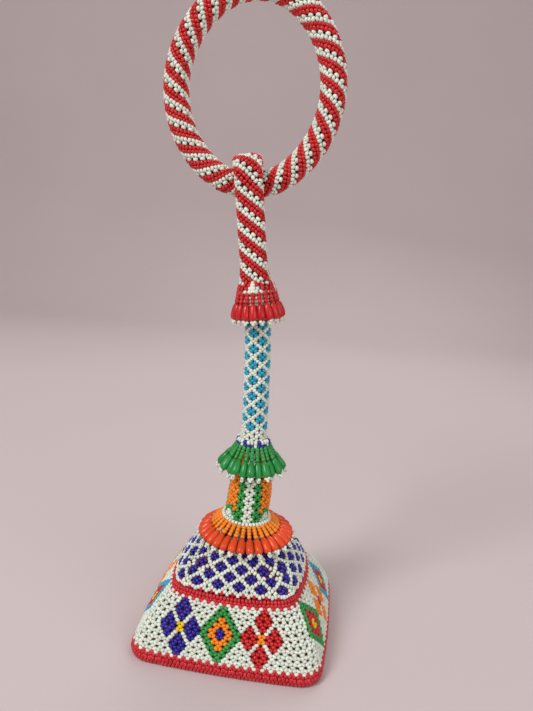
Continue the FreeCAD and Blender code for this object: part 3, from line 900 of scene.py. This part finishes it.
# ---- loop, in its own frame: origin at the knot, +Z along it
LOOP_TURN = Matrix.Rotation(math.radians(LOOP_LEAN), 3, "Y")
LOOP_BEND = RING_TUBE + LOOP_PLAY + LOOP_HALF_THICK
FOOT_Y = LEG_GAP / 2 + LOOP_HALF_THICK
SPREAD = (math.asin(LOOP_BEND / math.hypot(FOOT_Y, LOOP_REACH - BINDING_TOP))
          - math.atan2(FOOT_Y, LOOP_REACH - BINDING_TOP))
LEG = (LOOP_REACH - LOOP_BEND * math.sin(SPREAD) - BINDING_TOP) / math.cos(SPREAD)
LOOP_LENGTH = 2 * LEG + LOOP_BEND * (math.pi + 2 * SPREAD)
LOOP_SKEW, LOOP_SHIFT = 0.17, 0.8  # the soft loop lies a little askew over the ring
CROWN_FLARE, CROWN_PRESS, CROWN_SPAN = 1.0, 1.2, 16.0  # and is spread flat where it bears on it
FOOT_FLARE, FOOT_SPAN = 0.9, 9.0  # its feet are wider, where they go into the binding


def loop_point(local):
    return stem_point(KNOT_S) + LOOP_TURN @ local


def rope_frame(distance):
    """Middle of the rope and its outward direction, in the loop's frame, from the front foot."""
    bent = math.pi / 2 + SPREAD
    angle = min(max((distance - LEG) / LOOP_BEND - bent, -bent), bent)
    outward = Vector((0, math.sin(angle), math.cos(angle)))
    ahead = Vector((0, math.cos(angle), -math.sin(angle)))
    spare = distance - LEG - (angle + bent) * LOOP_BEND
    return Vector((0, 0, LOOP_REACH)) + outward * LOOP_BEND + ahead * spare, outward


def squared(value):
    """Fills out an oval's corners a little."""
    return np.sign(value) * np.abs(value) ** 0.64


def oval_angles(wide, thick, count=720):
    """Angles round an oval against the share of its outline passed."""
    angles = np.linspace(0, math.tau, count + 1)
    x, y = wide * squared(np.cos(angles)), thick * squared(np.sin(angles))
    passed = np.concatenate([[0], np.cumsum(np.hypot(np.diff(x), np.diff(y)))])
    return passed / passed[-1], angles


ROPE_SHARES, ROPE_ANGLES = oval_angles(LOOP_HALF_WIDTH - NET_MIDDLE, LOOP_HALF_THICK - NET_MIDDLE)
FILLER_BEAD = 2.2  # diameter of the beads that close the red stripes
ROPE_CELLS, LOOP_ROWS = 6, 4 * round(LOOP_LENGTH / 10.0)
ROPE_ROW = LOOP_LENGTH / LOOP_ROWS


def rope_point(distance, share, shallow):
    middle, outward = rope_frame(distance)
    angle = float(np.interp(share % 1.0, ROPE_SHARES, ROPE_ANGLES))
    foot = max(0.0, 1 - min(distance, LOOP_LENGTH - distance) / FOOT_SPAN)
    crown = max(0.0, 1 - abs(distance - LOOP_LENGTH / 2) / CROWN_SPAN)
    wide = LOOP_HALF_WIDTH - shallow + FOOT_FLARE * foot + CROWN_FLARE * crown
    thick = LOOP_HALF_THICK - shallow
    across = wide * float(squared(math.cos(angle)))
    deep = thick * float(squared(math.sin(angle)))
    deep -= CROWN_PRESS * crown * max(deep, 0) / thick
    spot = middle + Vector((across, 0, 0)) + outward * deep
    spot.x -= (LOOP_SKEW * spot.y + LOOP_SHIFT) * (1 - foot)
    return loop_point(spot)


def loop_place(x, y, middle_x, middle_y):
    if not 0.0 < y < LOOP_ROWS:
        return None
    return rope_point(y * ROPE_ROW, 0.1 - x / ROPE_CELLS, NET_MIDDLE + 0.3)


def stripe_colour(x, y):
    return "white" if math.floor(y / 2 + x + 0.001) % 2 == 0 else "red"


def striped_net(place, count):
    """The striped net of a rope: a bead in every hole of its red stripes closes them up."""
    fillers = []
    for row in range(count):
        for column in range(ROPE_CELLS):
            x = column + (row % 2) / 2 + 0.5
            ends = [place(x + side, row, x, row) for side in (-0.1, 0.1)]
            if None not in ends and stripe_colour(x, row) == "red":
                fillers.append(bead_between(ends, seed_size(FILLER_BEAD)))
    beads = net(place, range(ROPE_CELLS), range(count), stripe_colour, crossing=(0.2, 0.0))
    return gather(beads, {"red": fillers})


BINDING_TAPER = 0.25  # the binding draws in above the red fringe's cord


def binding_halves(z):
    """Half axes of the binding at a height above the knot."""
    share = min(max((z + BINDING_BOTTOM) / (BINDING_SHOULDER + BINDING_BOTTOM), 0), 1)
    wide = LOOP_HALF_WIDTH + BINDING_WALL
    deep = LEG_GAP / 2 + 2 * LOOP_HALF_THICK + BINDING_WALL
    drawn_in = BINDING_TAPER * max(z - RED_CORD_FOOT, 0)
    return (BINDING_FOOT + (wide - BINDING_FOOT) * share - drawn_in,
            BINDING_FOOT + (deep - BINDING_FOOT) * share - drawn_in)


def binding_point(z, angle, proud=0.0):
    wide, deep = binding_halves(z)
    return loop_point(oval_spot(wide + proud, deep + proud, angle, z))


BINDING_LINES = (-0.6, 1.2, 3.0, 4.8, 6.6, 8.4)  # heights of the white rows over the knot
BINDING_BEAD, BINDING_PITCH, BINDING_PROUD = 1.75, 1.8, 0.3
SHOULDER_BEAD = 2.3  # and rows of height, how far proud, and count:
SHOULDER_LINES = ((11.4, 0.8, 34), (13.0, 0.8, 33), (14.5, 0.6, 30), (15.6, 0.1, 26))
WEDGE, WEDGE_STEP = 0.075, 0.018  # half width of the white wedge, and how it narrows, in turns
TURN_PITCH, TURN_DEPTH = 0.9, 0.16  # turns of the binding's cord


def shoulder_colour(share, row):
    """The loop's stripes carried down over its binding, with a white wedge in front."""
    turned = abs((share - 0.75 + 0.5) % 1.0 - 0.5)
    return "white" if turned < WEDGE - WEDGE_STEP * row or turned % 0.25 > 0.2 else "red"


def oval_outline(wide, deep):
    """Length round an oval with these half axes, near enough."""
    mean = math.sqrt((3 * wide + deep) * (wide + 3 * deep))
    return math.pi * (3 * (wide + deep) - mean)


def binding_row(row, z, proud, count, colour_at, diameter):
    """A closed row of beads, evenly spaced, round the binding; no count fills the row."""
    wide, deep = (half + proud for half in binding_halves(z))
    shares, angles = oval_angles(wide, deep)
    offset = 0.5 * (row % 2)

    def point(share):
        return binding_point(z, float(np.interp(share % 1.0, shares, angles)), proud)

    count = count or round(oval_outline(wide, deep) / BINDING_PITCH)
    return circle_of_beads(point, count, lambda bead: colour_at((bead + offset) / count),
                           diameter, offset)


def build_loop():
    lay("loop", striped_net(loop_place, LOOP_ROWS), "loop", "striped_beads", ["loop_net"])
    stations = []
    for distance in np.linspace(0, LOOP_LENGTH, 110):
        lap = 0.12 * math.sin(distance * 2.1)
        stations.append([rope_point(float(distance), step / 24, BEAD_LAYER + 0.1 - lap)
                         for step in range(24)])
    skin("loop_rope_cover", stations, handle_cloth, "loop", ["loop_rope"])
    stations = []
    for z in np.linspace(-BINDING_BOTTOM, BINDING_TOP, 64):
        turns = TURN_DEPTH * math.sin(z * 2 * math.pi / TURN_PITCH)
        stations.append([binding_point(float(z), math.tau * step / 36, turns - TURN_DEPTH)
                         for step in range(36)])
    skin("loop_binding_cord", stations, pale_cord, "loop", ["loop_binding"])
    rows = [binding_row(row, z, BINDING_PROUD, None, lambda share: "white", BINDING_BEAD)
            for row, z in enumerate(BINDING_LINES)]
    for row, (z, proud, count) in enumerate(SHOULDER_LINES):
        rows.append(binding_row(row, z, proud, count, lambda share: shoulder_colour(share, row),
                                SHOULDER_BEAD))
    lay("binding", gather(*rows), "loop", "striped_beads", None, "white_beads")


# ---- ring handle: an oval of four tangent arcs
RING_SHIFT = -1.4  # the ring hangs a little to the left in the loop's eye
RING_MIDDLE = loop_point(Vector((0, 0, LOOP_REACH))) + Vector((RING_SHIFT, 0, RING_HALF_HEIGHT))
END_Z = RING_HALF_HEIGHT - RING_END_RADIUS
SIDE_RADIUS = ((RING_HALF_WIDTH ** 2 + END_Z ** 2 - RING_END_RADIUS ** 2)
               / (2 * (RING_HALF_WIDTH - RING_END_RADIUS)))
RING_TURN = math.atan2(END_Z, SIDE_RADIUS - RING_HALF_WIDTH)
RING_ARCS = (
    (Vector((0, 0, END_Z)), RING_END_RADIUS, RING_TURN, math.pi - 2 * RING_TURN),
    (Vector((SIDE_RADIUS - RING_HALF_WIDTH, 0, 0)), SIDE_RADIUS, math.pi - RING_TURN,
     2 * RING_TURN),
    (Vector((0, 0, -END_Z)), RING_END_RADIUS, math.pi + RING_TURN, math.pi - 2 * RING_TURN),
    (Vector((RING_HALF_WIDTH - SIDE_RADIUS, 0, 0)), SIDE_RADIUS, -RING_TURN, 2 * RING_TURN),
)
RING_LENGTH = sum(radius * sweep for centre, radius, start, sweep in RING_ARCS)
RING_ROWS, RING_SLIP = 4 * 29, 0.4  # rows round it, and how far the net is slipped back, in rows
RING_ROW = RING_LENGTH / RING_ROWS


def ring_point(distance, share, radius):
    """A point round the ring's tube, share going once round the tube from its outside."""
    distance %= RING_LENGTH
    for centre, arc, start, sweep in RING_ARCS:
        if distance <= arc * sweep:
            break
        distance -= arc * sweep
    angle = start + distance / arc
    spoke = Vector((math.cos(angle), 0, math.sin(angle)))
    round_it = math.tau * share
    tube = spoke * math.cos(round_it) + Vector((0, 1, 0)) * math.sin(round_it)
    return RING_MIDDLE + centre + spoke * arc + tube * radius


def ring_place(x, y, middle_x, middle_y):
    return ring_point((y - RING_SLIP) * RING_ROW, x / ROPE_CELLS, RING_TUBE - NET_MIDDLE)


def build_ring():
    lay("ring", striped_net(ring_place, RING_ROWS), "ring", "striped_beads", ["ring_net"])
    steps, lap_steps, lap_height = 210, 2.1, 0.2
    stations = []
    for step in range(steps):
        ring = []
        for index in range(24):
            lap = ((step / lap_steps + index / 24) % 1.0) * lap_height
            ring.append(ring_point(RING_LENGTH * step / steps, index / 24,
                                   RING_TUBE - BEAD_LAYER - lap_height + lap))
        stations.append(ring)
    skin("ring_hoop_tape", stations, handle_cloth, "ring", ["ring_hoop"], closed=True)


def build_cords():
    cord_ring("orange", lambda angle: round_stem(ORANGE_CORD_S, angle, ORANGE_CORD), "body")
    cord_ring("green", lambda angle: round_stem(GREEN_CORD_S, angle, STEM_NET + CORD_SEAT), "body")
    cord_ring("red", lambda angle: binding_point(RED_CORD_Z, angle, CORD_SEAT), "loop", 56)


build_head()
build_head_cloth()
build_stem()
build_bands()
build_fringes()
build_loop()
build_ring()
build_cords()


# ---- floor, backdrop and lights
def backdrop():
    """Pale cloth laid flat and curved up a wall well behind."""
    outline = [(-3.0, 0.0), (1.0, 0.0)]
    for angle in np.linspace(0.15, math.pi / 2, 10):
        outline.append((1.0 + 0.5 * math.sin(angle), 0.5 - 0.5 * math.cos(angle)))
    outline.append((1.5, 3.0))
    form = bmesh.new()
    steps = len(outline) - 1
    bmesh.ops.create_grid(form, x_segments=1, y_segments=steps, size=3.0)
    for vert in form.verts:
        vert.co.y, vert.co.z = outline[round((vert.co.y + 3.0) / 6.0 * steps)]
    bmesh.ops.recalc_face_normals(form, faces=form.faces)
    mesh = to_mesh("floor", form)
    mesh.shade_smooth()
    finish = Finish("pale_floor", specular_ior_level=0.1)
    cloudy = finish.noise(3.0, 2.0)
    finish.set("Base Color", finish.mix(cloudy, srgb(205, 193, 193), srgb(198, 186, 186)))
    finish.set("Roughness", cloudy * 0.1 + 0.85)
    mesh.materials.append(finish.material)
    add_object("floor", mesh)


LAMPS_AIM = (0, 0, 0.16)  # half way up the rattle, in metres


def lamp(name, place, size, power):
    light = bpy.data.lights.new(name, "AREA")
    light.shape, light.size, light.energy = "DISK", size, power
    holder = add_object(name, light)
    holder.location = place
    ahead = Vector(LAMPS_AIM) - Vector(place)
    holder.rotation_euler = ahead.to_track_quat("-Z", "Y").to_euler()


backdrop()
lamp("key", (-0.91, -1.04, 1.3), 0.65, 20.0)
lamp("fill", (0.9, -0.7, 0.55), 0.9, 3.8)
lamp("back_fill", (0.1, 0.9, 0.9), 0.9, 4.0)
world = bpy.data.worlds.new("pale_room")
bpy.context.scene.world = world
world.use_nodes = True
background = world.node_tree.nodes["Background"].inputs
background["Color"].default_value, background["Strength"].default_value = srgb(222, 214, 213), 0.6
bpy.context.scene.view_settings.view_transform = "Standard"
